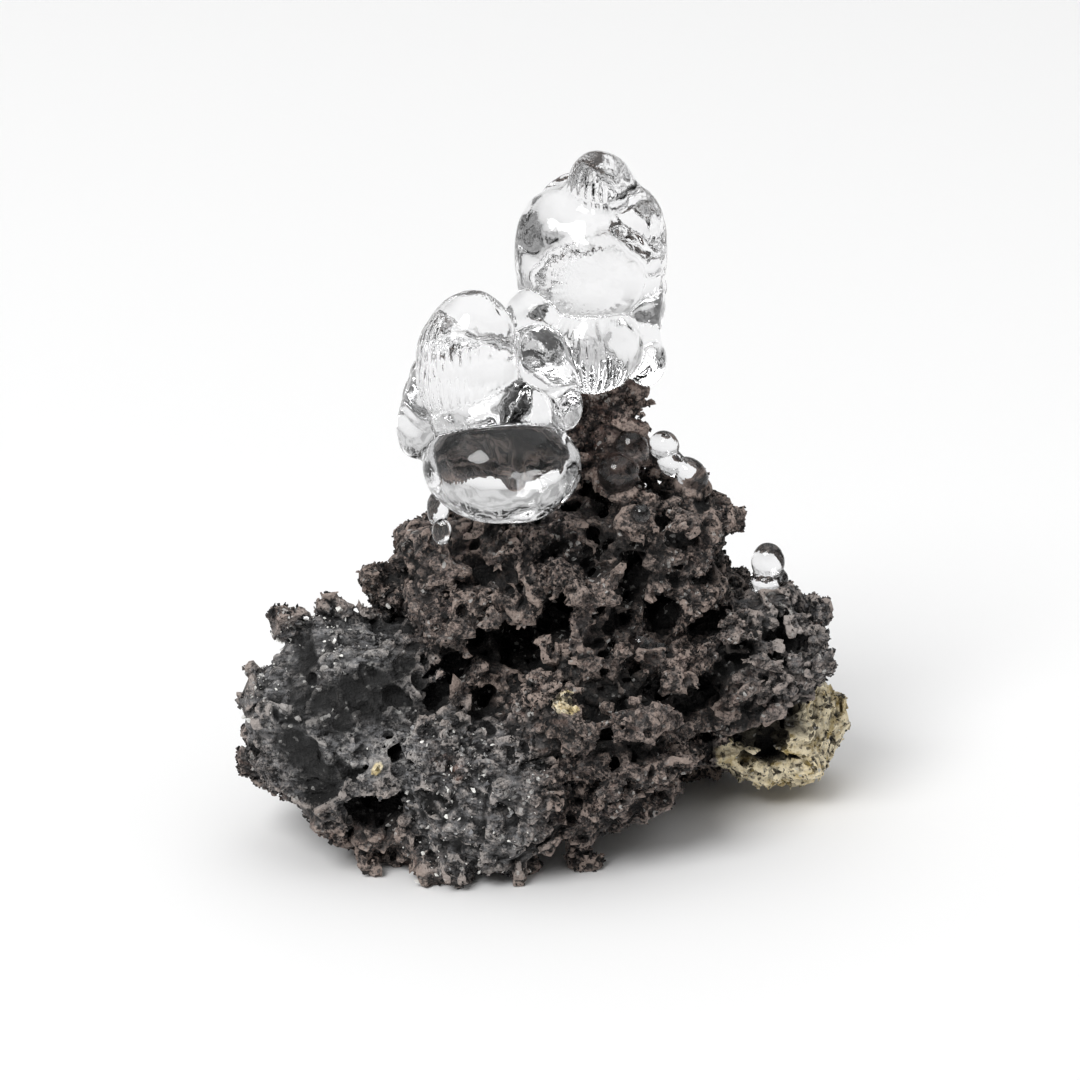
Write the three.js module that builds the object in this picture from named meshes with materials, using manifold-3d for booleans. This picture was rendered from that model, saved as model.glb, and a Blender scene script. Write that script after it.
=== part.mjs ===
// Hyalite opal on scoria: clear, glassy knobs of opal that grew on a lump of dark volcanic foam.
// Millimetres, +Z up, X to the right, Y away from the front. The origin is on the surface it rests on,
// under the middle of its outline. The stone is one solid. The opal is one solid for each growth that
// stands clear of the others.
import * as THREE from "three";
import { mergeVertices } from "three/addons/utils/BufferGeometryUtils.js";
import { ImprovedNoise } from "three/addons/math/ImprovedNoise.js";
import Module from "manifold-3d";

const wasm = await Module();
wasm.setup();
const noise = new ImprovedNoise();

// Driving dimensions, in mm.
const CONTACT_GAP = 0.3; // between the opal and the socket that holds it in the stone
const STONE_FACETS = 11; // splits of each edge of the icosahedron that is wrapped round the stone
const STONE_HEART = new THREE.Vector3(1.5, 1, 12); // the stone's skin is star-shaped about this point
const STONE_REACH = 32; // the skin is searched for from this far out
const SKIN_STEP = 0.2;
const LUMP_BLEND = 9; // higher keeps the lumps more distinct
const LUMP_SQUARENESS = 2.8; // 2 is an ellipsoid, more is blockier
const WARP = [
  { scale: 0.16, reach: 1.8 }, // cycles per mm, and how far the warp moves a point
  { scale: 0.42, reach: 1.1 },
];
const FLOOR_SPAN = 100;
const HOLLOW_FACETS = 2;
const OPAL_EDGE = 1.9; // about how long a facet's edge is on a lobe of opal
const OPAL_FACETS = { least: 1, most: 3 };

// Lumps of the stone: centre, radii, and a turn about Z in degrees.
const STONE_LUMPS = [
  { at: [1, 2, 12], size: [12, 9, 11], turn: 0 }, // the body
  { at: [-13, -5.5, 8.7], size: [6.8, 6.4, 7], turn: 20 }, // left knee
  { at: [-11.6, -9, 4], size: [3.6, 2.8, 3.4], turn: 0 }, // its lower lip
  { at: [-15.6, -4, 14.6], size: [2.4, 2.4, 2.2], turn: 0 }, // its upper corner
  { at: [-9.5, 5.5, 6.5], size: [7, 6, 7], turn: 0 }, // left, behind
  { at: [-4, -9.2, 5.6], size: [5.4, 4.4, 6.4], turn: 10 }, // front foot
  { at: [3, -5.4, 9.2], size: [7, 5, 6.4], turn: -20 }, // middle ridge
  { at: [1.4, -6, 4], size: [4, 3.4, 2.8], turn: 0 }, // low front ledge
  { at: [15, 1.5, 11], size: [5, 5, 5.4], turn: 0 }, // right knee
  { at: [17, 4.2, 5.2], size: [4.4, 5.4, 4.4], turn: -15 }, // right foot
  { at: [9, 9, 6.6], size: [7, 5.4, 7], turn: 0 }, // right, behind
  { at: [-1, 9, 10], size: [8, 5, 8], turn: 0 }, // back
  { at: [3, 1.5, 19], size: [8.6, 6.6, 6], turn: 0 }, // upper cone
  { at: [-5.6, -1, 17.4], size: [4, 4.4, 4.6], turn: 0 }, // left shoulder
  { at: [11, 2.6, 20.4], size: [3, 3.4, 3], turn: 0 }, // right shoulder
  { at: [-3.6, 2.9, 22.9], size: [2.6, 2.4, 3.4], turn: 0 }, // saddle behind the globe
  { at: [-0.4, 3.4, 23.4], size: [2.8, 2.4, 3.6], turn: 0 },
  { at: [3.6, 2, 27], size: [2.3, 2.4, 4.4], turn: 0 }, // pinnacle under the tower
  { at: [5, 2, 30.4], size: [2.6, 2.2, 1.6], turn: 0 }, // the ledge at its top
];

// Hollows where large bubbles of gas burst or ran together.
const HOLLOWS = [
  { at: [-2, -9.6, 13.4], size: [3.2, 3.4, 1.9], turn: 25 }, // between the left knee and the ridge
  { at: [-4.8, -12.6, 10.8], size: [1.6, 2.4, 1.5], turn: 0 },
  { at: [1.2, -9, 16], size: [2, 2.6, 1.4], turn: 0 },
  { at: [-11.8, -12.6, 5], size: [2.2, 2.2, 1.4], turn: 0 },
  { at: [10.4, -5.2, 6.4], size: [3.2, 3, 1.2], turn: 20 },
  { at: [7.2, -6.6, 16], size: [1.7, 2.4, 1.3], turn: 0 },
  { at: [11, -4.6, 15.4], size: [1.8, 2.4, 1.3], turn: 0 },
  { at: [7.4, 1.6, 28.2], size: [2, 3.2, 1.6], turn: 0 }, // under the ledge
  { at: [21, -1, 8.2], size: [2.2, 3.4, 1.3], turn: 0 }, // between the right knee and foot
  { at: [5, 15, 12], size: [2.6, 2.6, 1.6], turn: 0 }, // behind
  { at: [-7, 13, 9], size: [2, 2.6, 2], turn: 0 },
];

// Growths of opal. Each is a list of lobes: centre, radii, and a lean to the right in degrees.
const TOWER = [
  { at: [3.9, 2.5, 44.8], size: [2.4, 2.4, 2.8], lean: 0 }, // cap
  { at: [3.4, 2.6, 40.8], size: [4.7, 4.1, 4.4], lean: 0 }, // head
  { at: [0.7, 2.4, 41.2], size: [2.4, 2.6, 3.3], lean: -4 }, // left shoulder
  { at: [5.9, 2.6, 42], size: [2.3, 2.6, 3.1], lean: 6 }, // right shoulder
  { at: [3.2, -0.2, 39.6], size: [3.5, 3, 3.4], lean: 0 }, // bulge in front
  { at: [0.8, 2.8, 38.6], size: [2.5, 2.6, 3.4], lean: 0 }, // left side
  { at: [6.3, 3, 37.2], size: [2.1, 2.8, 4.6], lean: 0 }, // right side
  { at: [-0.4, 1, 36.7], size: [2.3, 2.3, 1.9], lean: -15 }, // low left lobe
  { at: [3.2, 0.6, 34.6], size: [3.6, 3.4, 3.3], lean: 0 }, // belly
  { at: [6.8, 2, 33.2], size: [1.7, 2, 2], lean: 0 }, // low right lobe
  { at: [2.2, 5.3, 42.4], size: [2.6, 2.2, 3], lean: -6 }, // back, high
  { at: [4.2, 5.4, 37.6], size: [3, 2.4, 3.6], lean: 0 }, // back, middle
  { at: [0.8, 4.6, 34.4], size: [2.4, 2.2, 2.6], lean: 0 }, // back, low
  { at: [5.6, 4.8, 33.6], size: [2, 2, 2.2], lean: 0 },
  { at: [3.4, 2.8, 37.6], size: [3, 2.8, 6], lean: 0 }, // heart, inside the others
];
const CLUSTER = [
  { at: [-5.2, -2, 35.1], size: [3.4, 3.2, 4.2], lean: 8 }, // egg
  { at: [-8.3, -1.5, 31.4], size: [1.9, 2.4, 3.6], lean: 12 }, // left flank
  { at: [-8.8, -1.5, 29.2], size: [1.6, 1.7, 2], lean: 0 }, // bulb on the flank
  { at: [-3.2, -3.4, 32.4], size: [4.5, 2.8, 2.8], lean: 0 }, // collar over the globe
  { at: [-2.7, -4.6, 28.4], size: [5.3, 4.4, 4.5], lean: 0 }, // globe
  { at: [0.3, -1.6, 33.5], size: [2.2, 2.2, 3], lean: -12 }, // bridge to the tower
  { at: [-0.4, -0.6, 35], size: [1.7, 1.7, 1.8], lean: 0 },
  { at: [1.9, -3.2, 31], size: [1.5, 1.5, 1.7], lean: 20 },
  { at: [-7, -2.8, 27.2], size: [1.1, 1.6, 2.4], lean: 0 }, // skirt
  { at: [-4.4, 1, 30.4], size: [3.6, 2.6, 4], lean: 0 }, // back
  { at: [-3.4, -1.6, 30.6], size: [4, 2.6, 3.6], lean: 0 }, // heart, inside the others
  { at: [-7.1, -4.5, 24.7], size: [0.8, 0.8, 1.3], lean: 0 }, // run of drops
  { at: [-6.8, -5.2, 23.2], size: [0.65, 0.6, 0.9], lean: 0 },
];
const GROWTHS = {
  hyalite_tower_and_globe: [...TOWER, ...CLUSTER],
  hyalite_smoky_buds: [
    { at: [6, -0.6, 27.6], size: [1.25, 1.3, 1.5], lean: 0 },
    { at: [5.1, -1.6, 26.2], size: [1.45, 1.4, 1.5], lean: 0 },
  ],
  hyalite_shoulder_buds: [
    { at: [8.4, 2, 26.9], size: [1.05, 1.05, 1.05], lean: 0 },
    { at: [8.9, 2, 25.7], size: [1.1, 1, 0.9], lean: 40 },
    { at: [10.3, 2, 24.9], size: [1.35, 1.1, 1], lean: 40 },
  ],
  hyalite_knee_bud: [
    { at: [15.7, 1, 18.7], size: [1.15, 1.1, 1.3], lean: 0 },
    { at: [16.3, 0.9, 17.5], size: [0.8, 0.8, 0.7], lean: 0 },
    { at: [15.6, 1, 17.2], size: [1.15, 1.1, 1], lean: 0 },
  ],
  hyalite_crevice_patch: [
    { at: [6.9, -5.6, 15.2], size: [1.1, 0.8, 0.7], lean: 20 },
    { at: [7.9, -5.6, 14.7], size: [0.8, 0.7, 0.7], lean: 0 },
  ],
  hyalite_ledge_bead: [{ at: [6.6, -4.6, 24.2], size: [0.7, 0.7, 0.7], lean: 0 }],
};

function radians(degrees) {
  return (degrees * Math.PI) / 180;
}

// A closed ball of flat facets with shared vertices.
function ball(facets) {
  const shape = new THREE.IcosahedronGeometry(1, facets);
  shape.deleteAttribute("normal");
  shape.deleteAttribute("uv");
  return mergeVertices(shape, 1e-4);
}

function solidOf(geometry) {
  return new wasm.Manifold(
    new wasm.Mesh({
      numProp: 3,
      vertProperties: new Float32Array(geometry.attributes.position.array),
      triVerts: new Uint32Array(geometry.index.array),
    }),
  );
}

function meshOf(solid, name, material) {
  const { vertProperties, triVerts } = solid.getMesh();
  const geometry = new THREE.BufferGeometry();
  geometry.setAttribute("position", new THREE.BufferAttribute(vertProperties, 3));
  geometry.setIndex(new THREE.BufferAttribute(triVerts, 1));
  const mesh = new THREE.Mesh(geometry, material);
  mesh.name = name;
  return mesh;
}

// Noise moves each point a little before the lumps are measured, which makes them craggy.
function warped(p) {
  const q = p.clone();
  for (const { scale, reach } of WARP) {
    q.x += reach * noise.noise(p.x * scale, p.y * scale, p.z * scale);
    q.y += reach * noise.noise(p.y * scale + 31, p.z * scale, p.x * scale);
    q.z += reach * noise.noise(p.z * scale, p.x * scale + 57, p.y * scale);
  }
  return q;
}

// 1 or more inside the blended lumps, falling off outside.
function stoneness(p) {
  const q = warped(p);
  let sum = 0;
  for (const { at, size, turn } of STONE_LUMPS) {
    const local = q.clone().sub(new THREE.Vector3(...at));
    local.applyAxisAngle(new THREE.Vector3(0, 0, 1), -radians(turn));
    const n = LUMP_SQUARENESS;
    const share =
      Math.abs(local.x / size[0]) ** n +
      Math.abs(local.y / size[1]) ** n +
      Math.abs(local.z / size[2]) ** n;
    sum += Math.exp(-LUMP_BLEND * (share ** (1 / n) - 1));
  }
  return sum;
}

function stoneSkin() {
  const shape = ball(STONE_FACETS);
  const places = shape.attributes.position;
  const direction = new THREE.Vector3();
  for (let i = 0; i < places.count; i++) {
    direction.fromBufferAttribute(places, i).normalize();
    let reach = STONE_REACH;
    const at = (r) => direction.clone().multiplyScalar(r).add(STONE_HEART);
    while (reach > SKIN_STEP && stoneness(at(reach)) < 1) reach -= SKIN_STEP;
    const p = at(reach);
    places.setXYZ(i, p.x, p.y, p.z);
  }
  return solidOf(shape);
}

function floorBlock() {
  const block = new THREE.BoxGeometry(FLOOR_SPAN, FLOOR_SPAN, FLOOR_SPAN);
  block.translate(0, 0, -FLOOR_SPAN / 2);
  block.deleteAttribute("normal");
  block.deleteAttribute("uv");
  return solidOf(mergeVertices(block));
}

// One ellipsoid of opal, or the room that it needs when swell is over 0.
function lobe({ at, size, lean }, swell) {
  const facets = Math.round(Math.cbrt(size[0] * size[1] * size[2]) / OPAL_EDGE);
  const shape = ball(THREE.MathUtils.clamp(facets, OPAL_FACETS.least, OPAL_FACETS.most));
  shape.scale(size[0] + swell, size[1] + swell, size[2] + swell);
  shape.rotateY(radians(lean));
  shape.translate(...at);
  return solidOf(shape);
}

function growth(lobes, swell = 0) {
  return lobes.map((one) => lobe(one, swell)).reduce((whole, next) => whole.add(next));
}

// A hollow is a plain ellipsoid, cut out of the stone.
function hollow({ at, size, turn }) {
  const shape = ball(HOLLOW_FACETS);
  shape.scale(...size);
  shape.rotateZ(radians(turn));
  shape.translate(...at);
  return solidOf(shape);
}

const sockets = growth(Object.values(GROWTHS).flat(), CONTACT_GAP);
let stone = stoneSkin().subtract(floorBlock()).subtract(sockets);
for (const place of HOLLOWS) stone = stone.subtract(hollow(place));

const scoria = new THREE.MeshStandardMaterial({ color: 0x3d3735, roughness: 0.9, metalness: 0 });
const hyalite = new THREE.MeshStandardMaterial({ color: 0xf2f6f7, roughness: 0.03, metalness: 0 });
const specimen = new THREE.Group();
specimen.add(meshOf(stone, "scoria_matrix", scoria));
for (const [name, lobes] of Object.entries(GROWTHS)) {
  specimen.add(meshOf(growth(lobes), name, hyalite));
}

// The origin moves from the stone's own datum to under the middle of the whole outline.
const middle = new THREE.Box3().setFromObject(specimen).getCenter(new THREE.Vector3());
specimen.position.set(-middle.x, -middle.y, 0);
export default specimen;
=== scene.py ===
# %% [markdown]
# # Hyalite opal on scoria
#
# Hyalite is a clear, glassy opal. Hot water and vapour laid it down, drop by drop, on a lump of scoria,
# which is frozen volcanic foam. The lesson builds both: first the stone as a volume that is dented,
# bubbled and crumbled, then the opal as smooth knobs that flow into one another, and then the light.
#
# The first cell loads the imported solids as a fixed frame, which gives the size and the place. The tables
# below are in millimetres of that frame, with the resting plane at zero.

# %% Load the frame
import math
import bmesh
import bpy
import mathutils
import numpy as np
import openvdb
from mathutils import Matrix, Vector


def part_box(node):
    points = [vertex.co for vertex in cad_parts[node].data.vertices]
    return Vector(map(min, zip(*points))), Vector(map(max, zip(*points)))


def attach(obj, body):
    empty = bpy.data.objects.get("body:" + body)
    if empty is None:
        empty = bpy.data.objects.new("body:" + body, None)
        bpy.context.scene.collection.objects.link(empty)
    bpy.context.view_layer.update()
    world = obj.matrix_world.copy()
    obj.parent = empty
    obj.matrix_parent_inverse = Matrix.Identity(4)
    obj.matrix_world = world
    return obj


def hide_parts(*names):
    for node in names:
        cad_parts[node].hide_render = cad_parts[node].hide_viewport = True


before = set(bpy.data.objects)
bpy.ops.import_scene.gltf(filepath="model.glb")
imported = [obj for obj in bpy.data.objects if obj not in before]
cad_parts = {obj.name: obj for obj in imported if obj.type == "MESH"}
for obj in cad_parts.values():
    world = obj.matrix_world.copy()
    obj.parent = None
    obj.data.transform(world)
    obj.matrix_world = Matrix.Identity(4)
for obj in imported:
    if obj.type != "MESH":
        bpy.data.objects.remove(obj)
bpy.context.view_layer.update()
MM = 0.001
print("solids in the frame:", sorted(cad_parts))

# %% [markdown]
# ## A block of cells
#
# A rock this rough could be sculpted by hand or made with a displacement modifier. Displacement can't make
# a hollow with an overhanging lip, and scoria is full of those. So the stone is made as a volume: a block of
# small cells, each holding the distance to the surface, below zero inside the stone. Carving and adding are
# then plain sums, minima and maxima on arrays, and a skin is drawn through the zeros at the end. A cell where
# nothing has been measured yet is called far.

# %% The block of cells
STEP = 0.17
MARGIN = 2.4
FAR = 9.0


def corner_mm(name, which):
    return np.array(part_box(name)[which]) / MM


first_cell = np.floor((corner_mm("scoria_matrix", 0) - MARGIN) / STEP).astype(int)
last_cell = np.ceil((corner_mm("scoria_matrix", 1) + MARGIN) / STEP).astype(int)
cells = last_cell - first_cell + 1
axis_x, axis_y, axis_z = (
    ((first_cell[a] + np.arange(cells[a])) * STEP).astype(np.float32) for a in range(3)
)
X = axis_x[:, None, None]
Y = axis_y[None, :, None]
Z = axis_z[None, None, :]
print("cells along each axis:", cells, "of", STEP, "mm")

# %% [markdown]
# ## From a solid to distances
#
# OpenVDB comes with Blender and turns a closed mesh into a band of distances. It needs the mesh as arrays, so
# two helpers read the points and the corners of the triangles. The band is made wide, so that deep hollows
# can still be measured from it.


# %% Distances to a solid
def points_of(piece):
    flat = np.empty(len(piece.data.vertices) * 3, np.float32)
    piece.data.vertices.foreach_get("co", flat)
    return flat.reshape(-1, 3) / MM


def corners_of(piece):
    piece.data.calc_loop_triangles()
    flat = np.empty(len(piece.data.loop_triangles) * 3, np.int32)
    piece.data.loop_triangles.foreach_get("vertices", flat)
    return flat.reshape(-1, 3)


def distances_to(name, band=3.6):
    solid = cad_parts[name]
    grid = openvdb.FloatGrid.createLevelSetFromPolygons(
        points_of(solid),
        triangles=corners_of(solid).astype(np.uint32),
        transform=openvdb.createLinearTransform(STEP),
        halfWidth=band / STEP,
    )
    values = np.empty(tuple(cells), np.float32)
    grid.copyToArray(values, ijk=tuple(int(c) for c in first_cell))
    return values


stone = distances_to("scoria_matrix")
print("stone's share of the block:", round(float((stone < 0).mean()), 3))

# %% [markdown]
# ## Noise on the block
#
# Each natural roughness here starts as smooth noise. Random numbers sit on a coarse lattice, and cubic
# weights blend them. Because the block is regular, it is blended along one axis at a time, which is
# hundreds of times faster than asking for noise one point at a time. A wavelength can differ by axis, which
# gives layers.


# %% Smooth noise
def noise(wavelength, seed):
    waves = np.broadcast_to(wavelength, 3)
    places = [(first_cell[a] + np.arange(cells[a])) * STEP / waves[a] for a in range(3)]
    starts = [(np.floor(p) - np.floor(p[0])).astype(int) for p in places]
    lattice = np.random.default_rng(seed).standard_normal([s[-1] + 4 for s in starts])
    values = lattice.astype(np.float32)
    for a in range(3):
        f = places[a] - np.floor(places[a])
        weights = ((1 - f) ** 3, 3 * f**3 - 6 * f**2 + 4, -3 * f**3 + 3 * f**2 + 3 * f + 1, f**3)
        column = [-1 if b == a else 1 for b in range(3)]
        values = sum(
            (w / 6).astype(np.float32).reshape(column) * values.take(starts[a] + n, a)
            for n, w in enumerate(weights)
        )
    return values * 3


def ridged(wavelength, seed):
    return 0.8 - np.abs(noise(wavelength, seed))


sample_noise = noise(3, 1)
print("noise spread:", round(float(sample_noise.std()), 2))

# %% [markdown]
# ## Where the stone differs
#
# The stone isn't the same all over. The left knee is dense and grey with flat broken faces. The front foot
# is grainy. The middle and the upper cone are reddish, open and ragged. The right foot has an ochre crust.
# Soft balls mark these places, in millimetres, and give each cell a share of each.


# %% Regions
def near(centre, radii, edge=0.35):
    cx, cy, cz = centre
    rx, ry, rz = np.broadcast_to(radii, 3)
    rho = np.sqrt(((X - cx) / rx) ** 2 + ((Y - cy) / ry) ** 2 + ((Z - cz) / rz) ** 2)
    return np.clip((1 + edge / 2 - rho) / edge, 0, 1).astype(np.float32)


knee = near((-14.2, -6.0, 10.2), (7.2, 7.5, 7.2))
front_foot = near((-5.2, -11.5, 6.5), (5.2, 5.0, 6.4))
right_foot = near((17.2, 2.5, 4.6), (6.0, 7.0, 4.4))
smooth_share = np.clip(0.75 * knee + 0.55 * front_foot + 0.7 * right_foot, 0, 1)
ragged = 1 - smooth_share
print("ragged share of the block:", round(float(ragged.mean()), 2))

# %% [markdown]
# ## The opal's lobes
#
# Each growth of opal is a bunch of ellipsoids: a centre, three radii, a lean to the right in degrees and the
# width of the soft crease where it joins the ones before it. They are needed early, because the stone has to
# close up round their feet. Their numbers count from the stone's own datum, so one bead, whose place in the
# frame is known, gives the shift to the frame.

# %% Lobes of opal
TOWER = [
    ((3.4, 2.8, 37.6), (3, 2.8, 6), 0, 1.4),
    ((3.4, 2.6, 40.8), (4.7, 4.1, 4.4), 0, 1.4),
    ((0.7, 2.4, 41.5), (2.4, 2.6, 3.2), -4, 1.4),
    ((5.9, 2.6, 42), (2.3, 2.6, 3.1), 6, 1.4),
    ((0.8, 2.8, 38.6), (2.5, 2.6, 3.4), 0, 1.4),
    ((6.3, 3, 37.2), (2.1, 2.8, 4.6), 0, 1.4),
    ((2.2, 5.3, 42.4), (2.6, 2.2, 3), -6, 0.7),
    ((4.2, 5.4, 37.6), (3, 2.4, 3.6), 0, 0.7),
    ((0.8, 4.6, 34.4), (2.4, 2.2, 2.6), 0, 0.7),
    ((5.6, 4.8, 33.6), (2, 2, 2.2), 0, 0.7),
    ((6.8, 2, 33.2), (1.7, 2, 2), 0, 0.6),
    ((3.9, 2.5, 44.8), (2.4, 2.4, 2.8), 0, 0.7),
    ((3.2, 0.5, 39.6), (3.4, 2.7, 3.3), 0, 0.7),
    ((3.2, 0.6, 34.6), (3.6, 3.4, 3.3), 0, 0.35),
    ((-0.4, 1, 36.7), (2.3, 2.3, 1.9), -15, 0.3),
]
CLUSTER = [
    ((-3.8, -1.4, 32.2), (3.4, 2.6, 3.2), 0, 1.2),
    ((-4.6, 0.6, 31.6), (3.4, 2.4, 3.4), 0, 1.2),
    ((-7.5, -1.5, 31.6), (1.8, 2.4, 3.8), 12, 1.0),
    ((-8.5, -1.5, 29.3), (1.5, 1.7, 2.1), 0, 1.0),
    ((-7, -2.8, 27.2), (1.1, 1.6, 2.4), 0, 0.6),
    ((-5.1, -2.5, 34.4), (3.4, 3.3, 4.9), 8, 0.3),
    ((-3.2, -3.1, 30.8), (4.4, 3.3, 2.7), 0, 0.2),
    ((0.3, -1.6, 33.5), (2.2, 2.2, 3), -12, 0.4),
    ((-0.4, -0.6, 35), (1.7, 1.7, 1.8), 0, 0.4),
    ((1.3, -3, 31.3), (1.4, 1.4, 1.7), 20, 0.5),
    ((-2.7, -4.6, 27.6), (5.3, 4.3, 3.8), 0, 0.15),
    ((-7.1, -4.5, 24.7), (0.8, 0.8, 1.3), 0, 0.3),
    ((-6.8, -5.2, 23.2), (0.65, 0.6, 0.9), 0, 0.3),
]
GROWTHS = {
    "hyalite_tower_and_globe": TOWER + CLUSTER,
    "hyalite_smoky_buds": [
        ((6, -0.8, 27.6), (1.25, 1.3, 1.5), 0, 0.3),
        ((5.1, -1.8, 26.2), (1.45, 1.4, 1.5), 0, 0.3),
    ],
    "hyalite_shoulder_buds": [
        ((8.4, 2, 26.9), (1.05, 1.05, 1.05), 0, 0.3),
        ((8.9, 2, 25.7), (1.1, 1, 0.9), 40, 0.3),
        ((10.3, 2, 24.9), (1.35, 1.1, 1), 40, 0.3),
    ],
    "hyalite_knee_bud": [
        ((15.7, 1, 18.7), (1.15, 1.1, 1.3), 0, 0.3),
        ((16.3, 0.9, 17.5), (0.8, 0.8, 0.7), 0, 0.3),
        ((15.6, 1, 17.2), (1.15, 1.1, 1), 0, 0.3),
    ],
    "hyalite_crevice_patch": [
        ((6.9, -5.6, 15.2), (1.1, 0.8, 0.7), 20, 0.3),
        ((7.9, -5.6, 14.7), (0.8, 0.7, 0.7), 0, 0.3),
    ],
    "hyalite_ledge_bead": [((6.6, -4.6, 24.2), (0.7, 0.7, 0.7), 0, 0.3)],
}
BEAD = "hyalite_ledge_bead"
shift = (corner_mm(BEAD, 0) + corner_mm(BEAD, 1)) / 2 - np.array(GROWTHS[BEAD][0][0])
print("shift from the stone's datum to the frame, mm:", shift.round(3))

# %% [markdown]
# ## Distance to a lobe
#
# The exact distance to an ellipsoid has no formula, but this estimate is good near its skin, and it is what
# a smooth union needs.


# %% One lobe's distance
def lobe_distance(lobe, x, y, z):
    centre, (rx, ry, rz), lean, _ = lobe
    cx, cy, cz = np.array(centre) + shift
    c, s = math.cos(math.radians(lean)), math.sin(math.radians(lean))
    dx, dy, dz = x - cx, y - cy, z - cz
    u, v, w = c * dx - s * dz, dy, s * dx + c * dz
    ratio = np.sqrt((u / rx) ** 2 + (v / ry) ** 2 + (w / rz) ** 2) + 1e-6
    slope = np.sqrt((u / rx**2) ** 2 + (v / ry**2) ** 2 + (w / rz**2) ** 2) + 1e-6
    return ratio * (ratio - 1) / slope


print("lobes of opal:", {name: len(lobes) for name, lobes in GROWTHS.items()})

# %% [markdown]
# ## Working on a small part of the block
#
# Knobs, bubbles and lobes are tiny beside the block. Each is worked out only in the cells round it.


# %% A window on the block
def window(centre, reach):
    low = np.floor((np.array(centre) - reach) / STEP).astype(int) - first_cell
    high = np.ceil((np.array(centre) + reach) / STEP).astype(int) - first_cell + 1
    low, high = np.clip(low, 0, cells), np.clip(high, 0, cells)
    return tuple(slice(a, b) for a, b in zip(low, high))


def window_axes(part, centre=(0, 0, 0)):
    return (
        axis_x[part[0], None, None] - centre[0],
        axis_y[None, part[1], None] - centre[1],
        axis_z[None, None, part[2]] - centre[2],
    )


opal_gap = np.full(tuple(cells), FAR, np.float32)
for lobe in sum(GROWTHS.values(), []):
    place = np.array(lobe[0]) + shift
    part = window(place, max(lobe[1]) + 1.6)
    distance = lobe_distance(lobe, *window_axes(part))
    opal_gap[part] = np.minimum(opal_gap[part], distance)
print("cells inside the opal:", int((opal_gap < 0).sum()))

# %% [markdown]
# ## Closing up round the opal
#
# The solids leave a small gap between stone and opal. On the real piece the opal grew on the stone, so there
# is none. Near the opal the stone swells by half a millimetre, which carries it a hair into the glass.

# %% The contact
SWELL = 0.5
contact = np.clip((1.1 - opal_gap) / 0.7, 0, 1) * np.clip((opal_gap + 1.2) / 0.6, 0, 1)
stone -= SWELL * contact
away_from_opal = np.clip((opal_gap - 0.1) / 0.9, 0, 1)
smooth_stone = stone.copy()
print("cells that the contact touches:", int((contact > 0).sum()))

# %% [markdown]
# ## Coarse relief
#
# Broken lava has ledges and saddles a few millimetres across. Two layers of noise push the skin in and out,
# more on the ragged parts than on the dense ones. The waves are shorter from top to bottom, which makes
# level ledges.

# %% Coarse relief
relief = 0.45 * noise((4.6, 4.6, 3.2), 11) + 0.35 * ridged((2.6, 2.6, 1.7), 12)
stone -= (relief - 0.15) * (0.25 + 0.75 * ragged) * (0.3 + 0.7 * away_from_opal)
print("relief from", round(float(relief.min()), 2), "to", round(float(relief.max()), 2), "mm")

# %% [markdown]
# ## Lumps, hollows and flat breaks
#
# Three small tools shape the block. A lump is a blocky ellipsoid that is blended in with a smooth
# union, which leaves a small fillet. A hollow is the same shape taken away. A flat break slices off all that
# stands beyond a plane, but only inside a soft ball, as a hammer blow would.


# %% Shaping tools
def random_turn(rng):
    q = rng.standard_normal(4)
    return np.array(mathutils.Quaternion(q / np.linalg.norm(q)).to_matrix())


def turn_by(*degrees):
    return np.array(mathutils.Euler([math.radians(d) for d in degrees]).to_matrix().transposed())


def blocky_distance(part, centre, radii, turn, power):
    x, y, z = window_axes(part, centre)
    u, v, w = (turn[r, 0] * x + turn[r, 1] * y + turn[r, 2] * z for r in range(3))
    rho = np.abs(u / radii[0]) ** power + np.abs(v / radii[1]) ** power + np.abs(w / radii[2]) ** power
    return (rho ** (1 / power) - 1) * min(radii)


def lump(centre, radii, turn, power=4.0, fillet=0.25):
    part = window(centre, max(radii) * 1.7 + fillet)
    distance = blocky_distance(part, centre, radii, turn, power)
    old = stone[part]
    blend = np.clip(fillet - np.abs(old - distance), 0, None) / fillet
    stone[part] = np.minimum(old, distance) - blend**2 * fillet / 4


def hollow(centre, radii, turn, power=2.0):
    part = window(centre, max(radii) + STEP)
    stone[part] = np.maximum(stone[part], -blocky_distance(part, centre, radii, turn, power))


def flat_break(centre, normal, reach):
    part = window(centre, reach * 1.3)
    x, y, z = window_axes(part, centre)
    nx, ny, nz = np.array(normal) / np.linalg.norm(normal)
    outside = np.clip(np.sqrt(x * x + y * y + z * z) - reach, 0, None)
    stone[part] = np.maximum(stone[part], nx * x + ny * y + nz * z - 3 * outside)


print("shaping tools are ready")

# %% [markdown]
# ## The landmarks
#
# Some lumps, breaks and caves are large enough to know one by one. The knee has broad flat faces with a few
# round holes. A slab leans against the front foot. Deep caves part the knee, the middle ridge and the cone,
# and their roofs overhang, so they look black. A lump has a centre, radii and three turns in degrees, a break
# a centre, a direction and a reach, and a cave a centre, radii and one lean. What comes later may stand out
# only half a millimetre further.

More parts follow.
